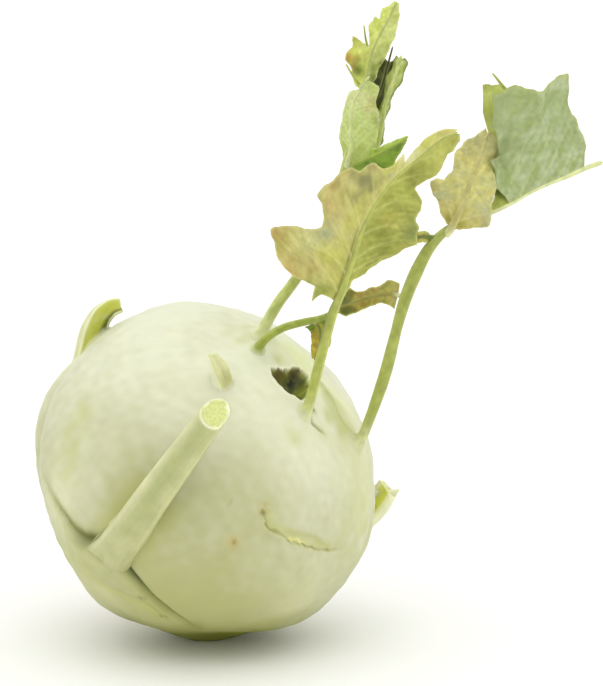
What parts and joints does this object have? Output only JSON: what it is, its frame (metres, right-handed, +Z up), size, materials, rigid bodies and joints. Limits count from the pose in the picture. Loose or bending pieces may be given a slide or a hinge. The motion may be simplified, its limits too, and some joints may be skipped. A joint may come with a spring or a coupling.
{
  "type": "kohlrabi",
  "caption": "Whole kohlrabi: a pale green swollen round stem with a thick sliced leaf stalk across its front and young wilting leaves leaning to one side.",
  "frame": {"origin": "on the small flat that the bulb rests on, right below the middle of the bulb", "axes": "+Z up from the flat, -Y towards the side with the thick sliced stalk, +X towards the side that the leaves lean to"},
  "size_m": [0.1405, 0.0954, 0.1593],
  "materials": {
    "bulb_skin": "living plant skin, pale green with a thin waxy bloom, satin",
    "cut_stalk": "living plant stalk, pale green and waxy, with a moist cut face",
    "leaf": "wilting leaf tissue, yellow-green to grey-green, matt and waxy"
  },
  "bodies": {
    "root": {"bulb": "bulb_skin", "cut_stalk_front": "cut_stalk", "cut_stalk_left": "cut_stalk", "cut_stalk_right": "cut_stalk", "cut_stalk_crown": "cut_stalk", "leaf_middle": "leaf", "leaf_right": "leaf", "leaf_back": "leaf", "leaf_small": "leaf"}
  },
  "joints": []
}
